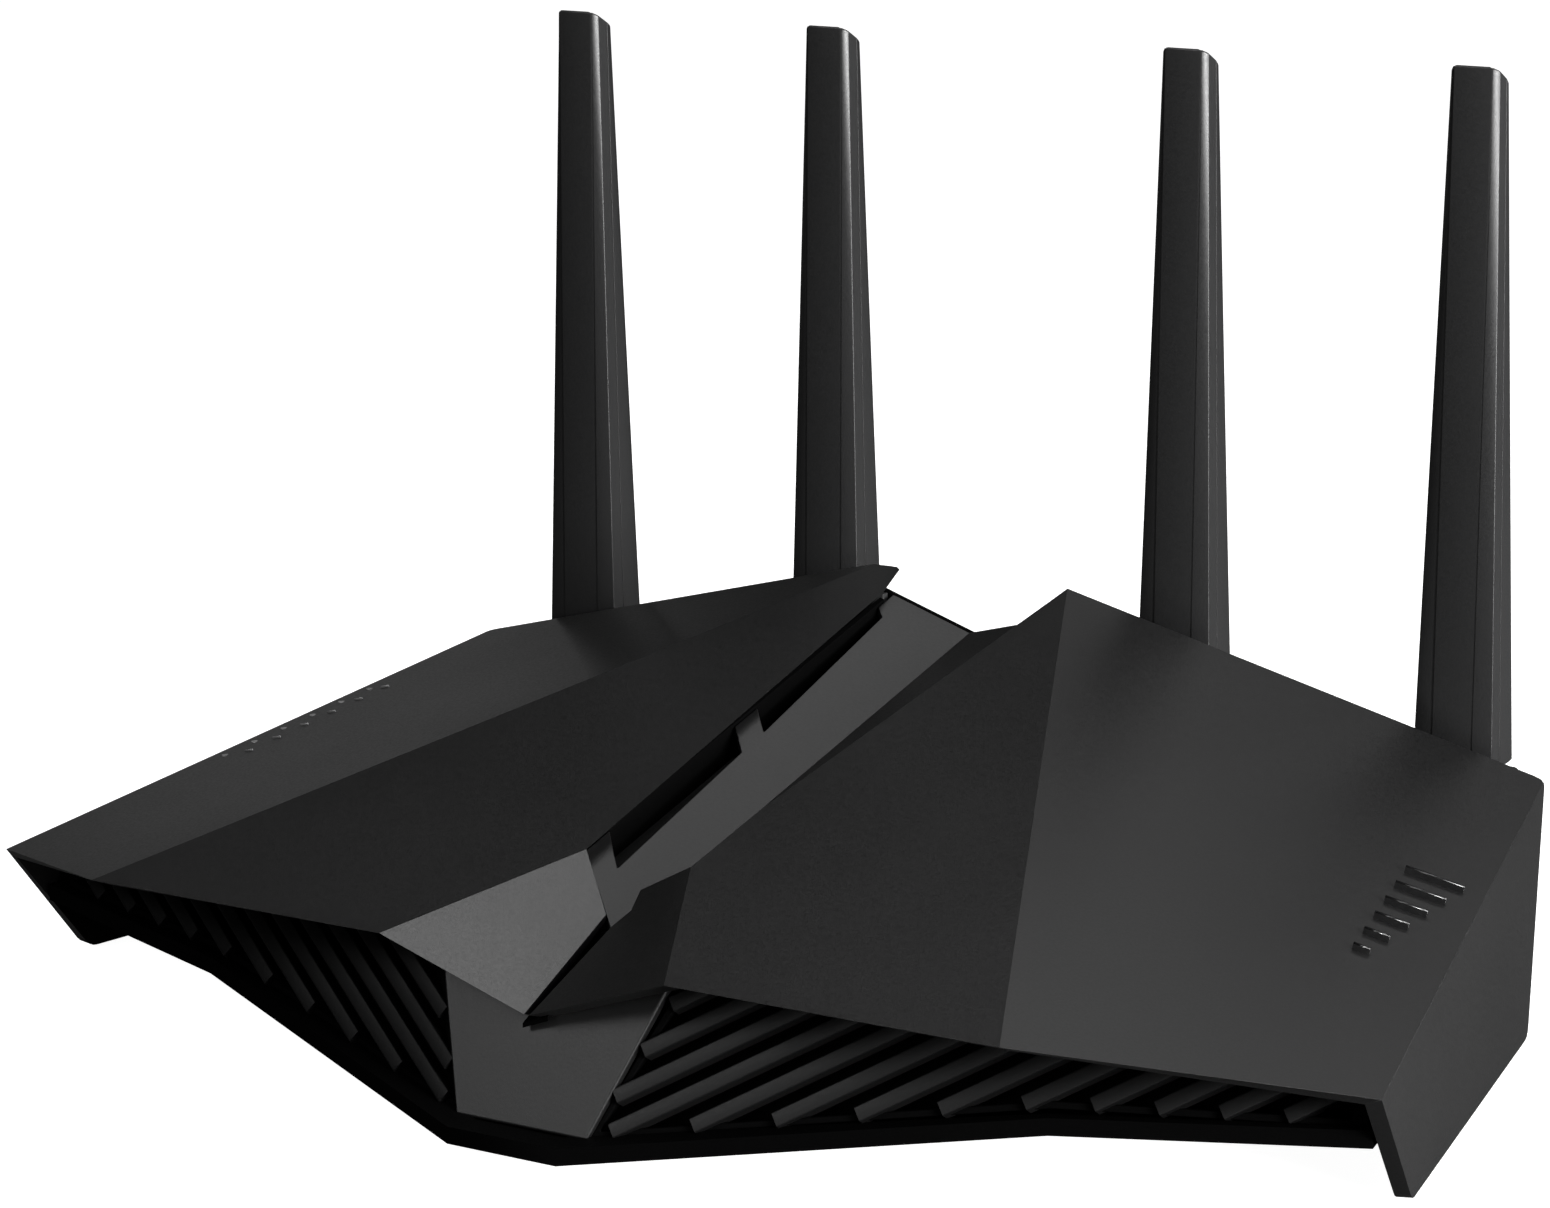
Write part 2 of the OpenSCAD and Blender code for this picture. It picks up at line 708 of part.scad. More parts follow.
module antenna_back(k) {
  color(shell_black) translate([antenna_x[k], 0, 0]) difference() {
    union() {
      translate([0, blade_y, blade_foot_z]) blade_rear();
      translate([-tongue_w / 2, pivot_y, pivot_z]) rotate([0, 90, 0])
        cylinder(h = tongue_w, r = tongue_r);
      translate([-tongue_w / 2, blade_y + split_d, pivot_z + 5])
        cube([tongue_w, blade_foot_d - split_d - 0.1, blade_foot_z - pivot_z - 4]);
    }
    translate([-10, pivot_y, pivot_z]) rotate([0, 90, 0]) cylinder(h = 20, r = pin_r + fit);
    translate([-lead_board_w / 2 - 0.2, blade_y + split_d - 1, blade_foot_z + 6])
      cube([lead_board_w + 0.4, 2.2, lead_board_h + 0.6]);
  }
}

module antenna_board(k) {
  color(board_green)
    translate([antenna_x[k] - lead_board_w / 2, blade_y + split_d + 0.1, blade_foot_z + 6.2])
      cube([lead_board_w, 0.9, lead_board_h]);
}

base_tray();
rear_panel();
left_cover();
right_cover();
centre_spine();
light_bar();
light_board();
nose_panel();
left_louvre();
right_louvre();
main_board();
heat_sink();
thermal_pad();
shield_cans();
lan_sockets();
wan_socket();
usb_socket();
power_inlet();
power_switch();
tact_switches();
status_lenses();
rubber_feet();
cover_screws();
board_screws();
swivel_sockets();
antenna_leads();
lead_plugs();
power_button();
pair_button();
reset_button();
antenna_knuckle(0);  // antenna_1_knuckle
antenna_clip(0);  // antenna_1_clip
antenna_pin(0);  // antenna_1_pin
antenna_front(0);  // antenna_1_front
antenna_back(0);  // antenna_1_back
antenna_board(0);  // antenna_1_board
antenna_knuckle(1);  // antenna_2_knuckle
antenna_clip(1);  // antenna_2_clip
antenna_pin(1);  // antenna_2_pin
antenna_front(1);  // antenna_2_front
antenna_back(1);  // antenna_2_back
antenna_board(1);  // antenna_2_board
antenna_knuckle(2);  // antenna_3_knuckle
antenna_clip(2);  // antenna_3_clip
antenna_pin(2);  // antenna_3_pin
antenna_front(2);  // antenna_3_front
antenna_back(2);  // antenna_3_back
antenna_board(2);  // antenna_3_board
antenna_knuckle(3);  // antenna_4_knuckle
antenna_clip(3);  // antenna_4_clip
antenna_pin(3);  // antenna_4_pin
antenna_front(3);  // antenna_4_front
antenna_back(3);  // antenna_4_back
antenna_board(3);  // antenna_4_board
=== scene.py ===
"""Wireless router: faceted covers, a louvred front, a sunken light channel and four folding antennas."""

import json
import math

import bmesh
import bpy
import numpy as np
from mathutils import Matrix, Vector

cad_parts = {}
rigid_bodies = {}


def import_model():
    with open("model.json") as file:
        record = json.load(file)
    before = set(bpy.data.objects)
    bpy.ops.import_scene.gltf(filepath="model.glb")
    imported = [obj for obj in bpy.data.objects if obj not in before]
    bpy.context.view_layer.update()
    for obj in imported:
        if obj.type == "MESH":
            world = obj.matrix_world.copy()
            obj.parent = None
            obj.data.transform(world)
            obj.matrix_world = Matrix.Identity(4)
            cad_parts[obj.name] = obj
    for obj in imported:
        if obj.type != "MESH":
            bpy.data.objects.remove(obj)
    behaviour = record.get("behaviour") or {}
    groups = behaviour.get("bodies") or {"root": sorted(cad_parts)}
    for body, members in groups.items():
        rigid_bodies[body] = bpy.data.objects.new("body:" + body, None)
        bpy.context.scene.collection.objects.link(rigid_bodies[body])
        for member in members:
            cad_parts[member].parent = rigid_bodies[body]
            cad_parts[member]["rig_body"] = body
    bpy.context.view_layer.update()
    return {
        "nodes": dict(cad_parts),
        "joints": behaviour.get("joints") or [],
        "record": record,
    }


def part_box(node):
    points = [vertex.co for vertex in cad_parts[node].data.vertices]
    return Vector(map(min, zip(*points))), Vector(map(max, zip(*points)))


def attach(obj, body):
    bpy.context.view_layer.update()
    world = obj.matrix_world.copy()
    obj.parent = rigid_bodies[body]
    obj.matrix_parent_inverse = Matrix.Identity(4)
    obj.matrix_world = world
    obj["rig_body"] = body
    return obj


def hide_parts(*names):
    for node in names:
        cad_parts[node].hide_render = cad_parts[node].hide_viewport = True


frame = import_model()
MM = 0.001
HOUSING = "housing"


# ---------------------------------------------------------------- node helpers

def new_material(name):
    mat = bpy.data.materials.new(name)
    mat.use_nodes = True
    nodes, links = mat.node_tree.nodes, mat.node_tree.links
    shader = nodes["Principled BSDF"]
    return mat, nodes, links, shader


def noise(nodes, links, coords, scale, detail=3.0, rough=0.55, stretch=None):
    tex = nodes.new("ShaderNodeTexNoise")
    tex.inputs["Scale"].default_value = scale
    tex.inputs["Detail"].default_value = detail
    tex.inputs["Roughness"].default_value = rough
    if stretch:
        mapping = nodes.new("ShaderNodeMapping")
        mapping.inputs["Scale"].default_value = stretch
        links.new(coords, mapping.inputs["Vector"])
        coords = mapping.outputs["Vector"]
    links.new(coords, tex.inputs["Vector"])
    return tex.outputs["Fac"]


def remap(nodes, links, value, low, high, start=0.3, stop=0.7):
    node = nodes.new("ShaderNodeMapRange")
    node.inputs["From Min"].default_value = start
    node.inputs["From Max"].default_value = stop
    node.inputs["To Min"].default_value = low
    node.inputs["To Max"].default_value = high
    links.new(value, node.inputs["Value"])
    return node.outputs["Result"]


def two_tone(nodes, links, value, dark, light, start=0.35, stop=0.65):
    ramp = nodes.new("ShaderNodeValToRGB")
    ramp.color_ramp.elements[0].position = start
    ramp.color_ramp.elements[1].position = stop
    ramp.color_ramp.elements[0].color = (*dark, 1)
    ramp.color_ramp.elements[1].color = (*light, 1)
    links.new(value, ramp.inputs["Fac"])
    return ramp.outputs["Color"]


def grain_bump(nodes, links, shader, height, strength, distance):
    bump = nodes.new("ShaderNodeBump")
    bump.inputs["Strength"].default_value = strength
    bump.inputs["Distance"].default_value = distance * MM
    links.new(height, bump.inputs["Height"])
    links.new(bump.outputs["Normal"], shader.inputs["Normal"])


def object_coords(nodes):
    return nodes.new("ShaderNodeTexCoord").outputs["Object"]


def grey(value, tint=0.0):
    return (value, value, value * (1 + tint))


def moulded_plastic(name, tone, rough, grain=1900.0, depth=0.02, spread=0.12, specular=0.5):
    """Injection-moulded black plastic: spark-eroded grain, slight tone and gloss drift."""
    mat, nodes, links, shader = new_material(name)
    at = object_coords(nodes)
    fine = noise(nodes, links, at, grain, 2.0, 0.6)
    broad = noise(nodes, links, at, 9.0, 4.0, 0.6)
    speck = noise(nodes, links, at, grain * 1.7, 1.0, 0.5)
    tone_low, tone_high = tone * (1 - spread), tone * (1 + spread)
    base = two_tone(nodes, links, speck, grey(tone_low, 0.02), grey(tone_high, 0.02))
    links.new(base, shader.inputs["Base Color"])
    gloss = nodes.new("ShaderNodeMath")
    gloss.operation = "ADD"
    links.new(remap(nodes, links, broad, rough - 0.025, rough + 0.025), gloss.inputs[0])
    links.new(remap(nodes, links, fine, -0.05, 0.05), gloss.inputs[1])
    links.new(gloss.outputs[0], shader.inputs["Roughness"])
    grain_bump(nodes, links, shader, fine, 0.6, depth)
    shader.inputs["Specular IOR Level"].default_value = specular
    return mat


def metal(name, tone, rough, stretch=(1, 1, 1), tint=(1.0, 1.0, 1.0), scale=900.0):
    """Drawn or plated metal with lines along one way."""
    mat, nodes, links, shader = new_material(name)
    at = object_coords(nodes)
    lines = noise(nodes, links, at, scale, 4.0, 0.65, stretch)
    dark = tuple(tone * 0.88 * t for t in tint)
    light = tuple(min(1.0, tone * 1.08 * t) for t in tint)
    links.new(two_tone(nodes, links, lines, dark, light), shader.inputs["Base Color"])
    links.new(remap(nodes, links, lines, rough - 0.06, rough + 0.08), shader.inputs["Roughness"])
    grain_bump(nodes, links, shader, lines, 0.35, 0.01)
    shader.inputs["Metallic"].default_value = 1.0
    return mat


def clear_plastic(name, tone, rough):
    """Light-guide plastic, unlit."""
    mat, nodes, links, shader = new_material(name)
    at = object_coords(nodes)
    cloud = noise(nodes, links, at, 320.0, 3.0, 0.6)
    links.new(two_tone(nodes, links, cloud, grey(tone * 0.85), grey(tone * 1.1)),
              shader.inputs["Base Color"])
    links.new(remap(nodes, links, cloud, rough - 0.04, rough + 0.06), shader.inputs["Roughness"])
    shader.inputs["Coat Weight"].default_value = 0.4
    return mat


def soft_rubber(name, tone):
    mat, nodes, links, shader = new_material(name)
    at = object_coords(nodes)
    fine = noise(nodes, links, at, 1500.0, 3.0, 0.7)
    links.new(two_tone(nodes, links, fine, grey(tone * 0.8), grey(tone * 1.2)),
              shader.inputs["Base Color"])
    links.new(remap(nodes, links, fine, 0.68, 0.86), shader.inputs["Roughness"])
    grain_bump(nodes, links, shader, fine, 0.8, 0.03)
    return mat


def circuit_board(name):
    """Green solder mask over faint copper tracks."""
    mat, nodes, links, shader = new_material(name)
    at = object_coords(nodes)
    cells = nodes.new("ShaderNodeTexVoronoi")
    cells.distance = "MANHATTAN"
    cells.feature = "DISTANCE_TO_EDGE"
    cells.inputs["Scale"].default_value = 240.0
    links.new(at, cells.inputs["Vector"])
    tracks = two_tone(nodes, links, cells.outputs["Distance"], (0.03, 0.16, 0.08),
                      (0.012, 0.075, 0.04), 0.02, 0.05)
    links.new(tracks, shader.inputs["Base Color"])
    mask = noise(nodes, links, at, 60.0, 3.0)
    links.new(remap(nodes, links, mask, 0.28, 0.42), shader.inputs["Roughness"])
    return mat


COVER = moulded_plastic("cover_plastic_black", 0.0015, 0.40)
TRIM = moulded_plastic("trim_plastic_graphite", 0.002, 0.42, specular=0.56)
LOUVRE = moulded_plastic("louvre_plastic_black", 0.002, 0.46, specular=0.24)
# Matte black: the base tray's own finish, and painted shade on the louvre frames and on the dark sheets
# in the channel and behind the louvres.
BASE_AND_SHADE = moulded_plastic("base_plastic_black_and_shade", 0.0008, 0.6, specular=0.015)
REAR = moulded_plastic("rear_plastic_black", 0.014, 0.5, specular=0.5)
ANTENNA = moulded_plastic("antenna_plastic_black", 0.007, 0.40, grain=2300.0, depth=0.014,
                          specular=0.37)
GLOSS = moulded_plastic("mark_plastic_gloss", 0.006, 0.16, grain=600.0, depth=0.004)
SOCKET = moulded_plastic("socket_plastic_black", 0.008, 0.5)
RESET = moulded_plastic("reset_plastic_red", 0.05, 0.45)
DIFFUSER = moulded_plastic("light_diffuser_smoked", 0.003, 0.6, specular=0.15)
LENS = clear_plastic("status_lens_white", 0.16, 0.3)
BOARD = circuit_board("circuit_board_green")
HEAT = metal("heat_sink_aluminium", 0.72, 0.36, (0.4, 3, 3))
STEEL = metal("socket_steel", 0.5, 0.3, (3, 0.5, 3))
SCREW = metal("screw_zinc", 0.4, 0.34)
GOLD = metal("contact_gold", 0.75, 0.25, (1, 1, 1), (1.0, 0.74, 0.36))
RUBBER = soft_rubber("foot_rubber", 0.016)
PAD = soft_rubber("thermal_pad_grey", 0.3)
JACKET = soft_rubber("lead_jacket", 0.012)


# ---------------------------------------------------------------- mesh helpers

def mesh_from(name, points, faces):
    mesh = bpy.data.meshes.new(name)
    mesh.from_pydata([tuple(p) for p in points], [], faces)
    mesh.validate()
    return mesh


def outward(mesh):
    """Turns every closed shell's faces outwards."""
    bm = bmesh.new()
    bm.from_mesh(mesh)
    bmesh.ops.recalc_face_normals(bm, faces=bm.faces)
    bm.to_mesh(mesh)
    bm.free()
    return mesh


def work_object(mesh):
    obj = bpy.data.objects.new("work", mesh)
    bpy.context.scene.collection.objects.link(obj)
    return obj


def settled(obj):
    """The object's mesh with its modifiers applied. The object itself goes."""
    graph = bpy.context.evaluated_depsgraph_get()
    made = bpy.data.meshes.new_from_object(obj.evaluated_get(graph))
    bpy.data.objects.remove(obj)
    return made


def even_normals(obj):
    """Smooth shading that keeps large flat faces flat."""
    normals = obj.modifiers.new("flat", "WEIGHTED_NORMAL")
    normals.mode = "FACE_AREA"
    normals.weight = 50
    obj.data.shade_smooth()
    return settled(obj)


def bevelled(mesh, width, segments=2, angle=25.0, rule=None):
    """A copy with rounded edges and flat-looking faces. rule(edge) gives an edge's share of width."""
    obj = work_object(mesh)
    bevel = obj.modifiers.new("round", "BEVEL")
    bevel.width = width
    bevel.segments = segments
    bevel.use_clamp_overlap = True
    bevel.miter_outer = "MITER_ARC"
    if rule:
        bm = bmesh.new()
        bm.from_mesh(mesh)
        layer = bm.edges.layers.float.new("bevel_weight_edge")
        for edge in bm.edges:
            edge[layer] = rule(edge)
        bm.to_mesh(mesh)
        bm.free()
        bevel.limit_method = "WEIGHT"
    else:
        bevel.limit_method = "ANGLE"
        bevel.angle_limit = math.radians(angle)
    return even_normals(obj)


def add_piece(name, mesh, mat, body, slot, *nodes):
    obj = bpy.data.objects.new(name, mesh)
    bpy.context.scene.collection.objects.link(obj)
    if mat is not None:
        mesh.materials.clear()
        mesh.materials.append(mat)
    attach(obj, body)
    if nodes:
        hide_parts(*nodes)
    return obj


def joined(parts):
    """One mesh out of several; each keeps its own material."""
    bm = bmesh.new()
    mats = []
    for mesh, mat in parts:
        if mat not in mats:
            mats.append(mat)
        start = len(bm.faces)
        bm.from_mesh(mesh)
        bm.faces.ensure_lookup_table()
        for face in bm.faces[start:]:
            face.material_index = mats.index(mat)
    mesh = bpy.data.meshes.new("joined")
    bm.to_mesh(mesh)
    bm.free()
    for mat in mats:
        mesh.materials.append(mat)
    return mesh


def thickened(points, faces, walls, lean):
    """A closed solid under a set of flat faces, each with its own wall thickness.

    lean(point) moves a point's inner partner, which thins the rim there to a lip.
    """
    pts = [np.array(p, float) for p in points]
    normals = []
    for face in faces:
        n = np.zeros(3)
        for i, a in enumerate(face):
            p, q = pts[a], pts[face[(i + 1) % len(face)]]
            n += np.cross(p, q)
        normals.append(n / np.linalg.norm(n))
    inner = []
    for i, p in enumerate(pts):
        rows = [(normals[f], walls[f]) for f in range(len(faces)) if i in faces[f]]
        a = np.array([r[0] for r in rows])
        b = np.array([-r[1] for r in rows])
        inner.append(p + np.linalg.lstsq(a, b, rcond=1e-3)[0] + lean(p))
    count = len(pts)
    used = {(a, face[(i + 1) % len(face)]) for face in faces for i, a in enumerate(face)}
    made = [tuple(f) for f in faces]
    made += [tuple(v + count for v in reversed(f)) for f in faces]
    made += [(b, a, a + count, b + count) for (a, b) in used if (b, a) not in used]
    return [tuple(p * MM) for p in pts + inner], made


def plain_copy(node):
    """A CAD node's mesh as a copy with its flat faces whole again."""
    mesh = frame["nodes"][node].data.copy()
    bm = bmesh.new()
    bm.from_mesh(mesh)
    bmesh.ops.remove_doubles(bm, verts=bm.verts, dist=2e-6)
    bmesh.ops.dissolve_limit(bm, angle_limit=math.radians(0.6), verts=bm.verts, edges=bm.edges,
                             use_dissolve_boundaries=False)
    bm.to_mesh(mesh)
    bm.free()
    mesh.materials.clear()
    return mesh


def soften(node, mat, width, slot, segments=2, angle=32.0):
    """A moulded version of a CAD node: the same shape with rounded edges."""
    mesh = bevelled(plain_copy(node), width * MM, segments, angle)
    body = frame["nodes"][node]["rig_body"]
    return add_piece(node + "_moulded", mesh, mat, body, slot, node)


# ---------------------------------------------------------------- housing planes, in millimetres

right_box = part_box("right_cover")
TIP = Vector((right_box[1].x / MM, -52.0, 22.8))
BACK_X, BACK_Y = 114.0, right_box[1].y / MM
PEAK_Y = 65.0
BROW_Y, BROW_X, BEAK_Y = -86.5, 28.0, -84.5
DECK = (0.0, 0.2327, 52.829)
WING = (-0.279, 0.107, 22.8 + 0.279 * TIP.x + 0.107 * 52.0)
FLOOR = (-0.329, 0.2312, 45.87)
FOOT_Z = 0.4


def plane_z(plane, x, y):
    return plane[0] * x + plane[1] * y + plane[2]


def fold_x(y):
    return ((DECK[1] - WING[1]) * y + DECK[2] - WING[2]) / (WING[0] - DECK[0])


def beak_plane():
    p = Vector((0, BEAK_Y, 22.4))
    q = Vector((BROW_X, BROW_Y, plane_z(DECK, BROW_X, BROW_Y)))
    r = Vector((10, -50.6, plane_z(DECK, 10, -50.6)))
    n = (q - p).cross(r - p)
    return (-n.x / n.z, -n.y / n.z, p.z + (n.x * p.x + n.y * p.y) / n.z)


BEAK = beak_plane()


def plate_x(y, z):
    return TIP.x - 0.1853 * (y - TIP.y) - 0.057 * (z - TIP.z)


def curve_corner(before, corner, after, reach, steps=3):
    """Points that round a corner: a curve from one side to the other."""
    a = corner + (before - corner).normalized() * reach
    b = corner + (after - corner).normalized() * reach
    out = []
    for i in range(steps + 1):
        t = i / steps
        out.append(a * (1 - t) ** 2 + corner * 2 * t * (1 - t) + b * t * t)
    return out


# ---------------------------------------------------------------- covers

COVER_WALL, PLATE_WALL, SKIRT_WALL = 1.8, 2.8, 1.3


def cover_solid(deck_edge, beak_edge, skirt):
    """Right-handed cover: wing, deck, beak, end plate and the walls down to the channel."""
    points, faces, walls = [], [], []
    index = {}

    def put(p):
        key = (round(p[0], 3), round(p[1], 3), round(p[2], 3))
        if key not in index:
            index[key] = len(points)
            points.append(key)
        return index[key]

    def face(loop, wall):
        faces.append([put(p) for p in loop])
        walls.append(wall)

    def on(plane, p):
        return Vector((p[0], p[1], plane_z(plane, p[0], p[1])))

    brow = on(DECK, (fold_x(BROW_Y), BROW_Y))
    turn = on(DECK, (BROW_X, BROW_Y))
    back = on(WING, (BACK_X, BACK_Y))
    peak = on(DECK, (fold_x(PEAK_Y), PEAK_Y))
    foot = Vector((plate_x(-34, FOOT_Z), -34, FOOT_Z))
    heel = Vector((plate_x(53.5, FOOT_Z), 53.5, FOOT_Z))
    # the back outer corner is eased on both of its faces
    hinge = back + (TIP - back).normalized() * 1.4
    wing_ease = curve_corner(peak, back, hinge, 2.0, 3)[:-1] + [hinge]
    plate_ease = [hinge] + curve_corner(hinge, back, heel, 2.0, 3)[1:]
    wing_ease[-2] = (wing_ease[-3] + hinge) / 2 + (back - hinge).normalized() * 0.3
    face([brow, TIP, hinge] + list(reversed(wing_ease[:-1])) + [peak], COVER_WALL)
    deck_points = [on(DECK, p) for p in deck_edge]
    face([turn, brow, peak] + deck_points, COVER_WALL)
    beak_points = [on(BEAK, p) for p in beak_edge]
    face([turn, deck_points[-1]] + beak_points, COVER_WALL)
    lower = curve_corner(TIP, foot, heel, 1.6) + curve_corner(foot, heel, back, 2.2)
    face([TIP] + lower + list(reversed(plate_ease[1:])) + [hinge], PLATE_WALL)
    for loop in skirt:
        face(loop, SKIRT_WALL)
    return points, faces, walls


def front_lip(p):
    return (0, 4, 0) if p[1] < -80 else (0, 0, 0)


def channel_lip(p):
    if p[0] < 21 and p[1] > -51:
        return (5, 0, 0) if p[1] < 60 else (3, -4, 0)
    return front_lip(p)


def near_fold(p):
    """True along the outer top edge, where the wing turns down into the end plate."""
    x, y, z = abs(p.x) / MM, p.y / MM, p.z / MM
    return abs(x - plate_x(y, z)) < 0.8 and abs(z - plane_z(WING, x, y)) < 0.8


FOLD_ROUND, FLAT_TURN, SHALLOW_TURN = 2.4, math.radians(9), math.radians(30)
SHALLOW_SHARE, SHARP_SHARE = 0.08, 0.17


def cover_rule(edge):
    """Each edge's share of the widest rounding, which only the wing-to-plate fold has."""
    if len(edge.link_faces) != 2:
        return 0.0
    turn = edge.calc_face_angle(0.0)
    if turn < FLAT_TURN:
        return 0.0
    middle = (edge.verts[0].co + edge.verts[1].co) / 2
    if near_fold(middle) and edge.calc_length() > 60 * MM:
        return 1.0
    return SHALLOW_SHARE if turn < SHALLOW_TURN else SHARP_SHARE


def finished_cover(name, points, faces):
    mesh = outward(mesh_from(name, points, faces))
    return bevelled(mesh, FOLD_ROUND * MM, 4, rule=cover_rule)


def mirrored(points, faces):
    return [(-p[0], p[1], p[2]) for p in points], [tuple(reversed(f)) for f in faces]


def drop(p, to):
    return Vector((p[0], p[1], plane_z(FLOOR, p[0], p[1]) + to))


def on_deck(p, lower=0.0):
    return Vector((p[0], p[1], plane_z(DECK, p[0], p[1]) - lower))


def on_beak(p):
    return Vector((p[0], p[1], plane_z(BEAK, p[0], p[1])))


HALF_SEAM = 0.5


def right_cover():
    start, end, low = (11.2, -29.3), (19.1, 48.5), (9.4, 48.0)
    beak_back = (10.6, -50.6)
    beak_edge = [(8.5, -51.9), (2.7, -54.0), (4.6, -59.9), (3.0, -63.2), (HALF_SEAM, BEAK_Y)]
    bevel_low = on_deck(low, 2.5)
    facet = [on_deck(start), on_deck(end), bevel_low]
    wall = [on_deck(beak_back), on_deck(start), bevel_low, on_deck(end), on_deck((20.3, 60.0))]
    skirt = [facet]
    for a, b in zip(wall, wall[1:]):
        skirt.append([a, b, drop(b, 0.4), drop(a, 0.4)])
    front = [on_deck(beak_back)] + [on_beak(p) for p in beak_edge[:4]]
    for a, b in zip(front, front[1:]):
        skirt.append([b, a, drop(a, 0.3), drop(b, 0.3)])
    deck_edge = [(20.3, 60.0), end, start, beak_back]
    points, faces, walls = cover_solid(deck_edge, beak_edge, skirt)
    return finished_cover("right_cover", *thickened(points, faces, walls, front_lip))


def left_cover():
    tip_round = [(20.0, 64.9), (17.2, 65.0), (15.6, 64.9), (14.5, 64.0), (14.1, 62.0),
                 (12.5, 54.4)]
    deck_edge = tip_round + [(10.4, -50.6)]
    beak_edge = [(HALF_SEAM, -59.7), (HALF_SEAM, BEAK_Y)]
    points, faces, walls = cover_solid(deck_edge, beak_edge, [])
    return finished_cover("left_cover", *mirrored(*thickened(points, faces, walls, channel_lip)))


add_piece("right_cover_shell", right_cover(), COVER, HOUSING, "cover_plastic", "right_cover")
add_piece("left_cover_shell", left_cover(), COVER, HOUSING, "cover_plastic", "left_cover")


# ---------------------------------------------------------------- nose and channel

def prism(loop, push):
    """A closed solid: a loop of points and the same loop moved."""
    n = len(loop)
    points = [Vector(p) for p in loop] + [Vector(p) + Vector(push) for p in loop]
    faces = [tuple(range(n)), tuple(range(2 * n - 1, n - 1, -1))]
    faces += [((i + 1) % n, i, i + n, (i + 1) % n + n) for i in range(n)]
    return outward(mesh_from("prism", [p * MM for p in points], faces))


NOSE_FOOT = Vector((12.9, -86.8, 3.8))
NOSE_LEAN = math.radians(22.6)


def nose_panel():
    def at(x, v):
        return Vector((x, NOSE_FOOT.y + v * math.sin(NOSE_LEAN), NOSE_FOOT.z + v * math.cos(NOSE_LEAN)))
    loop = [at(-12.9, 0.2), at(12.9, 0.2), at(23.3, 29.2), at(0, 18.6), at(-23.3, 29.2)]
    inward = Vector((0, math.cos(NOSE_LEAN), -math.sin(NOSE_LEAN))) * 1.7
    return bevelled(prism(loop, inward), 0.4 * MM, 3, 20)


CHANNEL_THICK = 1.8


def channel_floor():
    """The strip with its light slots, a black strip along its back edge whose left end is painted shade
    under the left cover's tip, and two black sheets that close sight lines: painted shade under the beak
    seam and under the left cover's edge.
    """
    outline = [
        (0.9, -60.6), (2.8, -62.4), (7, -61.5), (12, -50), (14, 42.5), (20.5, 50),
        (21.4, 59.3), (-13.2, 59.3), (-13.2, 53.5), (-11.1, 51.3), (-8.6, 4.6), (-10.9, 7.2),
        (-13.2, 9.9), (-13.2, 2.1), (-10.8, -0.6), (-8.4, -3.4), (-6.7, -46.6), (-9.6, -43.4),
        (-13.2, -39.1), (-13.2, -47.5), (-9.1, -50.7)]
    loop = [Vector((x, y, plane_z(FLOOR, x, y))) for x, y in outline]
    floor = bevelled(prism(loop, (0, 0, -CHANNEL_THICK)), 0.18 * MM, 2, 30)
    # A black strip along the back edge; its left end runs on under the left cover's tip as painted
    # shade.
    back = [Vector((x, y, plane_z(FLOOR, x, y) + 0.12)) for x, y in
            [(-17.5, 59.3), (21.4, 59.3), (21.4, 60.2), (-17.5, 60.2)]]
    lip = bevelled(prism(back, (0, 0, -CHANNEL_THICK)), 0.2 * MM, 2, 30)
    # Painted shade: a black sheet under the beak seam, so the gap between the covers reads dark.
    seam = [on_beak(p) - Vector((0, 0, 2.4)) for p in [(-2.5, -82), (2.5, -82), (5, -60), (-3, -60)]]
    seam_shade = prism(seam, (0, 0, -0.8))
    # Painted shade: a black sheet hanging under the left cover's edge, so the channel's side reads dark.
    under = [drop(p, 0.4) for p in [(-14.2, -48), (-13.4, -48), (-13.4, 56), (-14.2, 56)]]
    channel_shade = prism(under, (0, 0, -8))
    return joined([(floor, TRIM), (lip, BASE_AND_SHADE), (seam_shade, BASE_AND_SHADE), (channel_shade, BASE_AND_SHADE)])


add_piece("nose_panel_shell", nose_panel(), TRIM, HOUSING, "trim_plastic", "nose_panel")
add_piece("channel_floor_shell", channel_floor(), None, HOUSING, "trim_plastic", "centre_spine")


# ---------------------------------------------------------------- louvres

PITCH, GAP, SHIFT, SLAT_TURN = 4.8, 2.0, 0.85, math.radians(28.4)
FIRST_SLAT, LAST_SLAT, SLAT_DEEP, SLAT_PITCH = -13, 7, 2.6, -0.25
LOUVRE_YAW, LOUVRE_LEAN, LOUVRE_WALL = math.radians(18.8), math.radians(15.4), 3.0
LOUVRE_EDGE = [(0.4, 0.5), (76, 10.6), (126.6, 11.1), (126.6, 18.4), (78, 32.6), (15.6, 29)]
LOUVRE_HOLE = [(2.1, 1.7), (75.9, 11.8), (124, 12.3), (124, 16.8), (77.6, 30.6), (16.3, 27.6)]


def panel_matrix():
    turn = Matrix.Rotation(LOUVRE_YAW, 4, "Z") @ Matrix.Rotation(math.pi / 2 - LOUVRE_LEAN, 4, "X")
    return Matrix.Translation(NOSE_FOOT * MM) @ turn


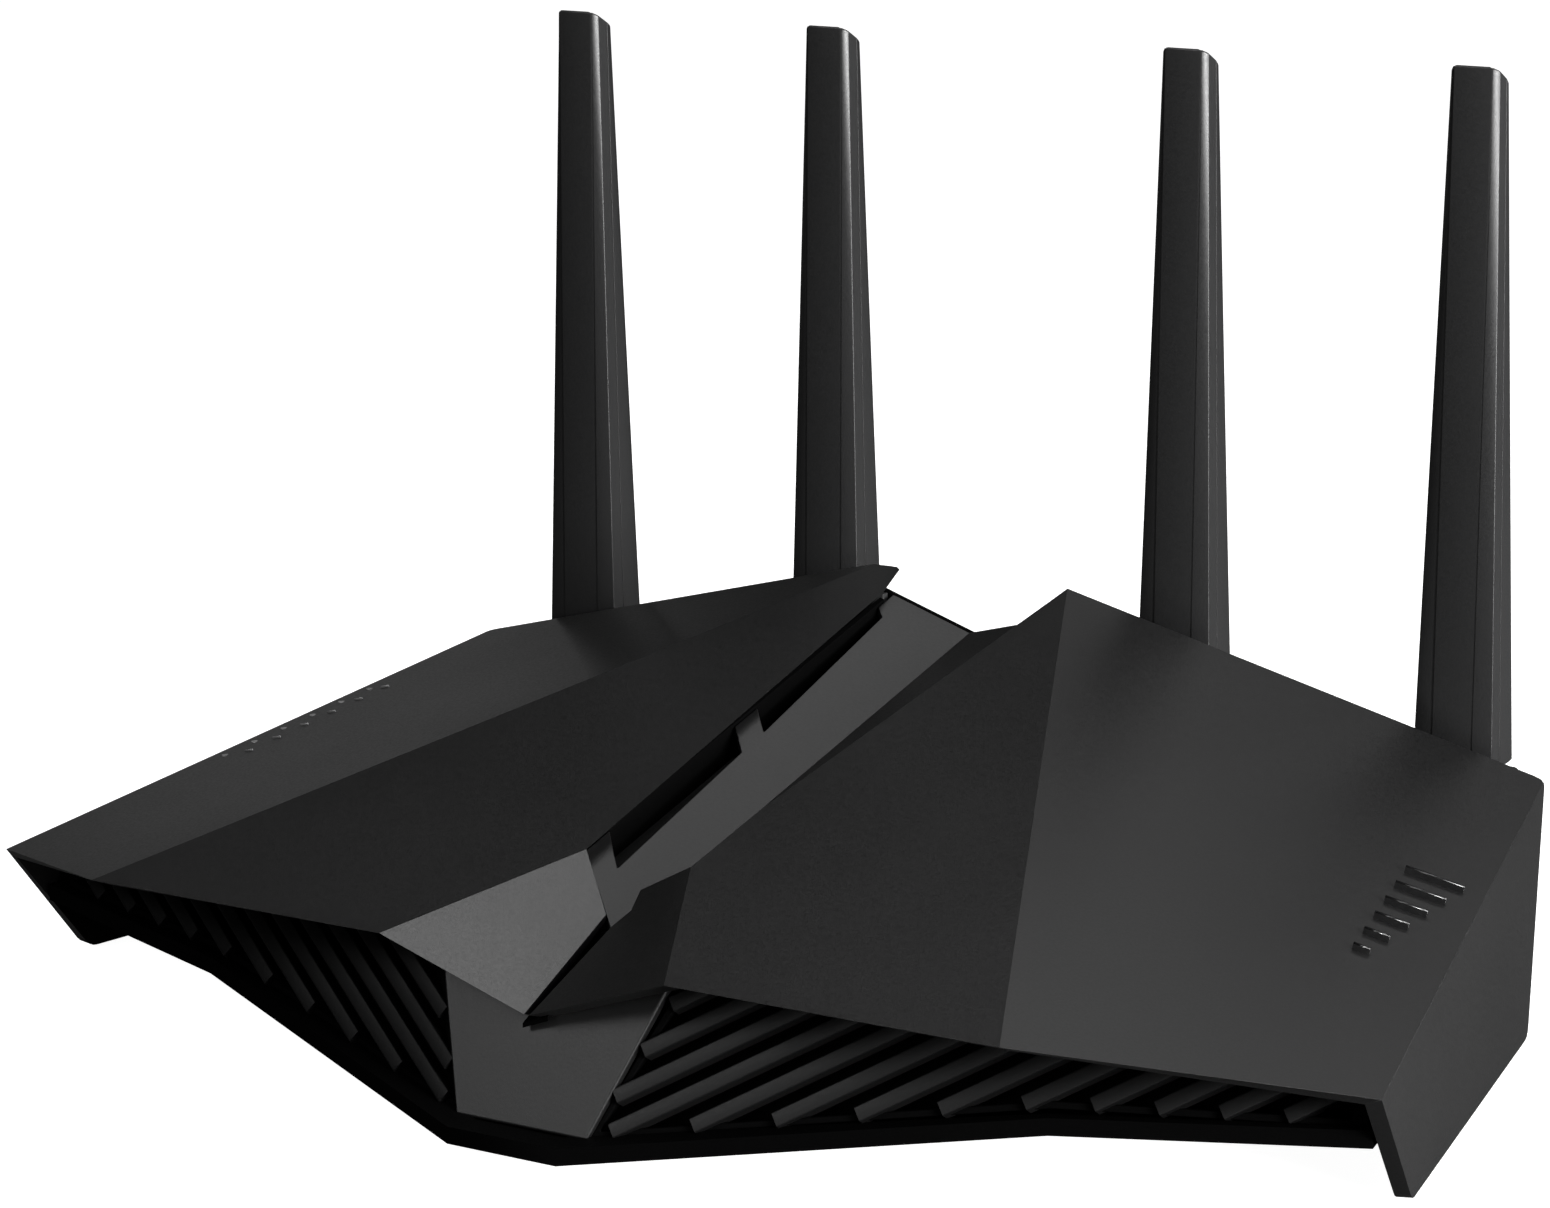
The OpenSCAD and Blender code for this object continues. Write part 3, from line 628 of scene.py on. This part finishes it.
def clip_line(offset):
    """Where a slanting line crosses the louvre's opening, in the panel's own plane."""
    along = Vector((math.cos(SLAT_TURN), math.sin(SLAT_TURN)))
    across = Vector((-along.y, along.x))
    cuts = []
    for i, corner in enumerate(LOUVRE_HOLE):
        p, q = Vector(corner), Vector(LOUVRE_HOLE[(i + 1) % len(LOUVRE_HOLE)])
        near, far = p.dot(across) - offset, q.dot(across) - offset
        if (near < 0) != (far < 0):
            cuts.append((p + (q - p) * near / (near - far)).dot(along))
    if not cuts or max(cuts) - min(cuts) < 1.2:
        return None
    return across * offset + along * (min(cuts) - 0.9), across * offset + along * (max(cuts) + 0.9)


def geometry_group(name, sizes, materials=()):
    """An empty node group with a mesh in, a mesh out and named inputs."""
    group = bpy.data.node_groups.new(name, "GeometryNodeTree")
    group.interface.new_socket("Mesh", in_out="INPUT", socket_type="NodeSocketGeometry")
    for key in sizes:
        group.interface.new_socket(key, in_out="INPUT", socket_type="NodeSocketFloat")
    for key in materials:
        group.interface.new_socket(key, in_out="INPUT", socket_type="NodeSocketMaterial")
    group.interface.new_socket("Mesh", in_out="OUTPUT", socket_type="NodeSocketGeometry")
    return group, group.nodes.new("NodeGroupInput"), group.nodes.new("NodeGroupOutput")


def finish_group(group, geometry, given, material, result):
    """Realize Instances, then Set Material, then out."""
    real = group.nodes.new("GeometryNodeRealizeInstances")
    paint = group.nodes.new("GeometryNodeSetMaterial")
    group.links.new(geometry, real.inputs["Geometry"])
    group.links.new(real.outputs["Geometry"], paint.inputs["Geometry"])
    group.links.new(given.outputs[material], paint.inputs["Material"])
    group.links.new(paint.outputs["Geometry"], result.inputs["Mesh"])
    return group


def slat_group():
    """Each edge of the mesh becomes a slat with a flat, eased, slightly pitched section."""
    group, given, result = geometry_group(
        "louvre_slats", ["Slat Width", "Slat Depth", "Edge Radius", "Pitch Angle"], ["Finish"])
    nodes, links = group.nodes, group.links
    path = nodes.new("GeometryNodeMeshToCurve")
    links.new(given.outputs["Mesh"], path.inputs["Mesh"])
    normal = nodes.new("GeometryNodeSetCurveNormal")
    normal.mode = "Z_UP"
    links.new(path.outputs["Curve"], normal.inputs["Curve"])
    tilt = nodes.new("GeometryNodeSetCurveTilt")
    links.new(normal.outputs["Curve"], tilt.inputs["Curve"])
    links.new(given.outputs["Pitch Angle"], tilt.inputs["Tilt"])
    section = nodes.new("GeometryNodeCurvePrimitiveQuadrilateral")
    links.new(given.outputs["Slat Depth"], section.inputs["Width"])
    links.new(given.outputs["Slat Width"], section.inputs["Height"])
    eased = nodes.new("GeometryNodeFilletCurve")
    eased.mode = "POLY"
    eased.inputs["Count"].default_value = 3
    links.new(section.outputs["Curve"], eased.inputs["Curve"])
    links.new(given.outputs["Edge Radius"], eased.inputs["Radius"])
    sweep = nodes.new("GeometryNodeCurveToMesh")
    sweep.inputs["Fill Caps"].default_value = True
    links.new(tilt.outputs["Curve"], sweep.inputs["Curve"])
    links.new(eased.outputs["Curve"], sweep.inputs["Profile Curve"])
    return finish_group(group, sweep.outputs["Mesh"], given, "Finish", result)


def run_group(group, mesh, values):
    """The group's result on a mesh, as a plain mesh."""
    obj = work_object(mesh)
    modifier = obj.modifiers.new("nodes", "NODES")
    modifier.node_group = group
    for item in group.interface.items_tree:
        if item.in_out == "INPUT" and item.name in values:
            modifier[item.identifier] = values[item.name]
    obj.update_tag()
    return settled(obj)


def ring_frame(outer, inner, depth):
    """A flat frame between two loops with the same number of corners."""
    n = len(outer)
    points = [(x, y, 0.0) for x, y in outer] + [(x, y, 0.0) for x, y in inner]
    points += [(x, y, -depth) for x, y in outer] + [(x, y, -depth) for x, y in inner]
    faces = []
    for i in range(n):
        j = (i + 1) % n
        faces.append((i, j, n + j, n + i))
        faces.append((2 * n + j, 2 * n + i, 3 * n + i, 3 * n + j))
        faces.append((j, i, 2 * n + i, 2 * n + j))
        faces.append((n + i, n + j, 3 * n + j, 3 * n + i))
    return outward(mesh_from("ring", [Vector(p) * MM for p in points], faces))


SLATS = slat_group()


def louvre_mesh(mirror):
    lines, edges = [], []
    for i in range(FIRST_SLAT, LAST_SLAT + 1):
        ends = clip_line(i * PITCH + GAP + (PITCH - GAP) / 2 + SHIFT)
        if ends:
            edges.append((len(lines), len(lines) + 1))
            lines += [(p.x * MM, p.y * MM, -0.0014) for p in ends]
    source = bpy.data.meshes.new("slat_lines")
    source.from_pydata(lines, edges, [])
    slats = run_group(SLATS, source, {
        "Slat Width": (PITCH - GAP + 0.3) * MM, "Slat Depth": SLAT_DEEP * MM,
        "Edge Radius": 0.28 * MM, "Pitch Angle": SLAT_PITCH, "Finish": LOUVRE})
    # The frame round the opening takes the matte black finish: painted shade at the slats' ends, where
    # the cover's overhang keeps the light off.
    border = bevelled(ring_frame(LOUVRE_EDGE, LOUVRE_HOLE, LOUVRE_WALL), 0.25 * MM, 2, 30)
    border.transform(Matrix.Translation((0, 0, -0.9 * MM)))
    # Painted shade: a matte black sheet behind the slats, so the gaps between them read dark.
    louvre_shade_sheet = mesh_from("louvre_shade_sheet", [Vector((x, y, z)) * MM for z in (-9.0, -9.6)
                                  for x, y in LOUVRE_EDGE],
                       [tuple(range(6)), tuple(range(11, 5, -1))]
                       + [((i + 1) % 6, i, i + 6, (i + 1) % 6 + 6) for i in range(6)])
    mesh = joined([(slats, LOUVRE), (border, BASE_AND_SHADE), (outward(louvre_shade_sheet), BASE_AND_SHADE)])
    mesh.transform(panel_matrix())
    if mirror:
        mesh.transform(Matrix.Scale(-1, 4, Vector((1, 0, 0))))
        mesh.flip_normals()
    return mesh


add_piece("right_louvre_panel", louvre_mesh(False), None, HOUSING, "louvre_plastic", "right_louvre")
add_piece("left_louvre_panel", louvre_mesh(True), None, HOUSING, "louvre_plastic", "left_louvre")


# ---------------------------------------------------------------- antennas

def eased_loop(points, radius, steps=3):
    """A closed outline with every corner rounded; radius is a number or one per corner."""
    out = []
    n = len(points)
    for i, p in enumerate(points):
        r = radius[i] if isinstance(radius, (list, tuple)) else radius
        a, b = points[i - 1], points[(i + 1) % n]
        if r <= 0:
            out.append(p)
            continue
        u, v = (a - p).normalized(), (b - p).normalized()
        for s in range(steps + 1):
            t = s / steps
            out.append(p + u * r * (1 - t) ** 2 + v * r * t ** 2)
    return out


def loft(loops):
    """A closed solid through a stack of outlines with equal counts."""
    n = len(loops[0])
    points = [p for loop in loops for p in loop]
    faces = [tuple(range(n - 1, -1, -1)), tuple(range(len(points) - n, len(points)))]
    for k in range(len(loops) - 1):
        for i in range(n):
            j = (i + 1) % n
            faces.append((k * n + i, k * n + j, (k + 1) * n + j, (k + 1) * n + i))
    return outward(mesh_from("loft", [Vector(p) * MM for p in points], faces))


SPLIT, HALF_GAP, TIP_FALL = 4.4, 0.07, 0.5
# flat front's width, whole width, depth and chamfer depth, at the foot and at the top
BLADE_FOOT = (7.8, 15.4, 12.2, 0.9)
BLADE_TOP = (7.5, 9.2, 7.1, 1.4)


def blade_sections(front, centre_x, front_y, foot_z, top_z, count=26):
    loops = []
    levels = [i / (count - 1) for i in range(count)]
    height = top_z - foot_z
    levels = [0.0, 0.4 / height] + levels[1:-1] + [1 - 0.5 / height, 1 - 0.15 / height, 1.0]
    shrink = [0.4, 0.0] + [0.0] * (count - 2) + [0.0, 0.14, 0.5]
    for t, inset in zip(levels, shrink):
        spine, width, depth, edge = (a + (b - a) * t for a, b in zip(BLADE_FOOT, BLADE_TOP))
        if front:
            rise = 0.3 * edge / ((width - spine) / 2)
            half = [(spine / 2 - 0.3, 0), (spine / 2, 0.55), (spine / 2 + 0.3, rise),
                    (width / 2, edge), (width / 2, SPLIT - HALF_GAP)]
            loop = half + [(-x, y) for x, y in reversed(half)]
            radii = [0, 0, 0, 0.12, 0.06, 0.06, 0.12, 0, 0, 0]
        else:
            loop = [(-width / 2, SPLIT + HALF_GAP), (width / 2, SPLIT + HALF_GAP),
                    (width / 2, depth), (-width / 2, depth)]
            radii = [0.06, 0.06, 2.4, 2.4]
        ring = eased_loop([Vector(p) for p in loop], radii)
        middle = sum(ring, Vector((0, 0))) / len(ring)
        out = []
        for p in ring:
            q = p + (middle - p).normalized() * inset
            z = foot_z + height * t - TIP_FALL * q.y * t
            out.append(Vector((centre_x + q.x, front_y + q.y, z)))
        loops.append(out)
    return loops


def antenna(k):
    front, knuckle = "antenna_%d_front" % k, "antenna_%d_knuckle" % k
    back = "antenna_%d_back" % k
    low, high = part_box(front)
    centre_x = (low.x + high.x) / 2 / MM
    sizes = (centre_x, low.y / MM, low.z / MM, high.z / MM)
    body = "antenna_%d_blade" % k
    for name, is_front in ((front, True), (back, False)):
        mesh = loft(blade_sections(is_front, *sizes))
        if not is_front:
            mesh = joined([(mesh, ANTENNA), (tongue(k, centre_x), ANTENNA)])
        mesh = even_normals(work_object(mesh))
        add_piece(name + "_shell", mesh, ANTENNA, body, "antenna_plastic", name)
    soften(knuckle, ANTENNA, 0.6, "antenna_plastic", 3, 40)


def tongue(k, centre_x):
    """The rounded lug between the knuckle's ears, with its neck up into the blade."""
    joint = next(j for j in frame["joints"] if j["name"] == "antenna_%d_fold" % k)
    y, z = joint["pos_m"][1] / MM, joint["pos_m"][2] / MM
    half, r = 4.1, 7.8
    outline = []
    for i in range(49):
        a = math.radians(48) - math.radians(i * 5.5)
        outline.append((y + r * math.cos(a), z + r * math.sin(a)))
    outline += [(y - 5.2, z + 6.0), (y - 5.2, z + 9.6), (y + 1.6, z + 9.6)]
    loop = [Vector((centre_x - half, a, b)) for a, b in outline]
    return bevelled(prism(loop, (2 * half, 0, 0)), 0.35 * MM, 2, 50)


for number in (1, 2, 3, 4):
    antenna(number)


# ---------------------------------------------------------------- marks and status lights

def on_wing(side, x, y, lift=0.0):
    """A matrix on the wing's surface: local X across towards the end plate, local Z outwards."""
    normal = Vector((-WING[0] * side, -WING[1], 1)).normalized()
    along = Vector((-0.1853 * side, 1.0, 0.0))
    along = (along - normal * along.dot(normal)).normalized()
    across = along.cross(normal).normalized()
    place = Vector((side * x, y, plane_z(WING, x, y))) + normal * lift
    turn = Matrix((across, along, normal)).transposed().to_4x4()
    return Matrix.Translation(place * MM) @ turn


def bar_points(count, pitch, length, growth):
    """Short lines side by side, each one longer than the last by growth."""
    lines, edges = [], []
    for i in range(count):
        y = (i - (count - 1) / 2) * pitch
        edges.append((len(lines), len(lines) + 1))
        lines += [(0.0, y * MM, 0.0), ((length + i * growth) * MM, y * MM, 0.0)]
    mesh = bpy.data.meshes.new("bars")
    mesh.from_pydata(lines, edges, [])
    return mesh


def signal_mark():
    """Raised bars of rising length, a plain sign for signal strength."""
    bars = run_group(SLATS, bar_points(6, 6.4, 3.0, 1.5), {
        "Slat Width": 2.5 * MM, "Slat Depth": 0.7 * MM, "Edge Radius": 0.22 * MM,
        "Pitch Angle": 0.0, "Finish": GLOSS})
    bars.transform(Matrix.Translation(Vector((-7.5, 0, 0)) * MM))
    bars.transform(on_wing(1, 119.6, 4.0))
    return even_normals(work_object(outward(bars)))


def status_marks():
    """Small dashes beside the status lights."""
    marks = run_group(SLATS, bar_points(6, 7.5, 2.2, 0.0), {
        "Slat Width": 0.7 * MM, "Slat Depth": 0.3 * MM, "Edge Radius": 0.1 * MM,
        "Pitch Angle": 0.0, "Finish": LENS})
    marks.transform(on_wing(-1, 116.2, 14.4))
    return even_normals(work_object(outward(marks)))


add_piece("signal_mark", signal_mark(), GLOSS, HOUSING, "cover_plastic")
add_piece("status_marks", status_marks(), LENS, HOUSING, "lens_plastic")


# ---------------------------------------------------------------- rear and base

def contact_group():
    """A row of sprung contact wires on each point of the mesh."""
    group, given, result = geometry_group(
        "socket_contacts", ["Wire Radius", "Wire Length", "Wire Pitch"], ["Finish"])
    nodes, links = group.nodes, group.links
    row = nodes.new("GeometryNodeMeshLine")
    row.mode = "OFFSET"
    row.inputs["Count"].default_value = 8
    step = nodes.new("ShaderNodeCombineXYZ")
    links.new(given.outputs["Wire Pitch"], step.inputs["X"])
    links.new(step.outputs["Vector"], row.inputs["Offset"])
    half = nodes.new("ShaderNodeMath")
    half.operation = "MULTIPLY"
    half.inputs[1].default_value = -3.5
    links.new(given.outputs["Wire Pitch"], half.inputs[0])
    start = nodes.new("ShaderNodeCombineXYZ")
    links.new(half.outputs[0], start.inputs["X"])
    links.new(start.outputs["Vector"], row.inputs["Start Location"])
    wire = nodes.new("GeometryNodeMeshCylinder")
    wire.inputs["Vertices"].default_value = 8
    links.new(given.outputs["Wire Radius"], wire.inputs["Radius"])
    links.new(given.outputs["Wire Length"], wire.inputs["Depth"])
    lean = nodes.new("GeometryNodeTransform")
    lean.inputs["Rotation"].default_value = (math.radians(62), 0, 0)
    links.new(wire.outputs["Mesh"], lean.inputs["Geometry"])
    wires = nodes.new("GeometryNodeInstanceOnPoints")
    links.new(row.outputs["Mesh"], wires.inputs["Points"])
    links.new(lean.outputs["Geometry"], wires.inputs["Instance"])
    ports = nodes.new("GeometryNodeInstanceOnPoints")
    links.new(given.outputs["Mesh"], ports.inputs["Points"])
    links.new(wires.outputs["Instances"], ports.inputs["Instance"])
    return finish_group(group, ports.outputs["Instances"], given, "Finish", result)


def socket_contacts():
    """Gold wires in every network socket, placed from the record's mounts."""
    points = []
    for mount in frame["record"]["mounts"]:
        if mount["name"] == "wan" or mount["name"].startswith("lan"):
            x, y, z = mount["pos_m"]
            points.append((x, y - 0.0072, z - 0.0012))
    source = bpy.data.meshes.new("ports")
    source.from_pydata(points, [], [])
    mesh = run_group(contact_group(), source, {
        "Wire Radius": 0.2 * MM, "Wire Length": 7.0 * MM, "Wire Pitch": 1.02 * MM, "Finish": GOLD})
    return mesh


add_piece("socket_contacts", socket_contacts(), GOLD, HOUSING, "plug_brass")

# node, finish, edge rounding in millimetres, slot, segments of the rounding
MOULDED = [
    ("rear_panel", REAR, 0.3, "base_plastic", 2),
    ("base_tray", BASE_AND_SHADE, 0.5, "base_plastic", 2),
    ("lan_sockets", STEEL, 0.2, "socket_metal", 2),
    ("wan_socket", STEEL, 0.2, "socket_metal", 2),
    ("usb_socket", STEEL, 0.15, "socket_metal", 2),
    ("swivel_sockets", REAR, 0.4, "base_plastic", 2),
    ("heat_sink", HEAT, 0.2, "heat_sink_metal", 2),
    ("shield_cans", STEEL, 0.2, "tinned_steel", 2),
    ("rubber_feet", RUBBER, 0.35, "foot_rubber", 3),
    ("power_inlet", SOCKET, 0.25, "socket_plastic", 2),
    ("power_switch", SOCKET, 0.3, "socket_plastic", 2),
    ("tact_switches", SOCKET, 0.3, "socket_plastic", 2),
    ("cover_screws", SCREW, 0.25, "screw_steel", 2),
    ("board_screws", SCREW, 0.2, "screw_steel", 2),
    ("power_button", COVER, 0.45, "button_plastic", 3),
    ("pair_button", COVER, 0.35, "button_plastic", 3),
    ("reset_button", RESET, 0.2, "reset_plastic", 3)]
for row in MOULDED:
    soften(*row)

FINISHES = {
    "light_bar": DIFFUSER, "light_board": BOARD, "main_board": BOARD, "thermal_pad": PAD,
    "status_lenses": LENS, "antenna_leads": JACKET, "lead_plugs": GOLD}
for k in (1, 2, 3, 4):
    FINISHES["antenna_%d_clip" % k] = SCREW
    FINISHES["antenna_%d_pin" % k] = SCREW
    FINISHES["antenna_%d_board" % k] = BOARD
for node, finish in FINISHES.items():
    data = frame["nodes"][node].data
    data.materials.clear()
    data.materials.append(finish)


# ---------------------------------------------------------------- studio

def light_at(name, azimuth, elevation, distance, size, power):
    """A square light aimed at the part. Azimuth runs from +X towards +Y, in degrees."""
    light = bpy.data.lights.new(name, "AREA")
    light.shape = "SQUARE"
    light.size = size
    light.energy = power
    obj = bpy.data.objects.new(name, light)
    bpy.context.scene.collection.objects.link(obj)
    turn, rise = math.radians(azimuth), math.radians(elevation)
    way = Vector((math.cos(turn) * math.cos(rise), math.sin(turn) * math.cos(rise), math.sin(rise)))
    obj.location = Vector((0, 0, 0.04)) + way * distance
    obj.rotation_euler = way.to_track_quat("Z", "Y").to_euler()
    return obj


# name, azimuth, elevation, distance, size, power
LIGHTS = [
    ("key_right", 345, 8, 1.5, 0.5, 50.0), ("side_right", 22, 5, 1.5, 0.6, 25.0),
    ("side_high", 0, 15, 1.5, 0.45, 8.4), ("close_right", 340, 20, 0.6, 0.3, 4.4),
    ("back_right", 50, 28, 1.5, 0.45, 2.6), ("overhead", 0, 89, 1.3, 0.6, 6.9),
    ("left_high", 180, 70, 1.4, 0.6, 2.3), ("fill_left", 245, 32, 1.5, 0.5, 5.9),
    ("front_low", 270, 12, 1.5, 0.6, 1.8), ("back_high", 90, 55, 1.45, 0.6, 1.8),
    ("back_glow", 135, 5, 1.5, 0.3, 0.09), ("left_glow", 150, 5, 1.5, 0.3, 0.17)]
FLOOR_REACH, FLOOR_SIDES, FLOOR_DROP = 6, 64, 0.0003


def floor_finish():
    """A pale floor: white to the eye, a mid grey in the part's own reflections."""
    mat, nodes, links, shader = new_material("studio_floor")
    nodes.remove(shader)
    out = next(n for n in nodes if n.type == "OUTPUT_MATERIAL")
    path = nodes.new("ShaderNodeLightPath")
    seen = nodes.new("ShaderNodeMixShader")
    glow = nodes.new("ShaderNodeEmission")
    glow.inputs["Strength"].default_value = 0.97
    lit = nodes.new("ShaderNodeBsdfDiffuse")
    lit.inputs["Color"].default_value = (0.5, 0.5, 0.5, 1)
    both = nodes.new("ShaderNodeAddShader")
    dim = nodes.new("ShaderNodeBsdfDiffuse")
    dim.inputs["Color"].default_value = (0.06, 0.06, 0.06, 1)
    links.new(glow.outputs[0], both.inputs[0])
    links.new(lit.outputs[0], both.inputs[1])
    links.new(path.outputs["Is Camera Ray"], seen.inputs["Fac"])
    links.new(dim.outputs[0], seen.inputs[1])
    links.new(both.outputs[0], seen.inputs[2])
    links.new(seen.outputs[0], out.inputs["Surface"])
    return mat


def studio():
    scene = bpy.context.scene
    scene.view_settings.view_transform = "Standard"
    world = bpy.data.worlds.new("studio")
    scene.world = world
    world.use_nodes = True
    nodes, links = world.node_tree.nodes, world.node_tree.links
    back = nodes["Background"]
    white = nodes.new("ShaderNodeBackground")
    path = nodes.new("ShaderNodeLightPath")
    mix = nodes.new("ShaderNodeMixShader")
    sky = nodes.new("ShaderNodeTexCoord")
    split = nodes.new("ShaderNodeSeparateXYZ")
    links.new(sky.outputs["Generated"], split.inputs["Vector"])
    shade = remap(nodes, links, split.outputs["Z"], 0.02, 0.01, 0.0, 0.45)
    links.new(shade, back.inputs["Strength"])
    white.inputs["Strength"].default_value = 1.0
    white.inputs["Color"].default_value = (1, 1, 1, 1)
    back.inputs["Color"].default_value = (1, 1, 1, 1)
    links.new(path.outputs["Is Camera Ray"], mix.inputs["Fac"])
    links.new(back.outputs[0], mix.inputs[1])
    links.new(white.outputs[0], mix.inputs[2])
    links.new(mix.outputs[0], nodes["World Output"].inputs["Surface"])

    disc = bpy.data.meshes.new("floor")
    turns = [a * math.tau / FLOOR_SIDES for a in range(FLOOR_SIDES)]
    ring = [(FLOOR_REACH * math.cos(a), FLOOR_REACH * math.sin(a), -FLOOR_DROP) for a in turns]
    disc.from_pydata(ring, [], [tuple(range(FLOOR_SIDES))])
    floor = bpy.data.objects.new("floor", disc)
    scene.collection.objects.link(floor)
    disc.materials.append(floor_finish())

    for row in LIGHTS:
        light_at(*row)


CAMERA_PLACE, CAMERA_DOWN, CAMERA_TURN = (0.4155, -0.6932, 0.2591), 12.82, 31.15
CAMERA_LENS, CAMERA_SENSOR = 109.16, 36.0


def camera():
    data = bpy.data.cameras.new("camera")
    data.sensor_width = CAMERA_SENSOR
    data.lens = CAMERA_LENS
    data.clip_start, data.clip_end = 0.05, 50.0
    obj = bpy.data.objects.new("camera", data)
    bpy.context.scene.collection.objects.link(obj)
    obj.location = CAMERA_PLACE
    obj.rotation_euler = (math.radians(90 - CAMERA_DOWN), 0.0, math.radians(CAMERA_TURN))
    bpy.context.scene.camera = obj


studio()
camera()
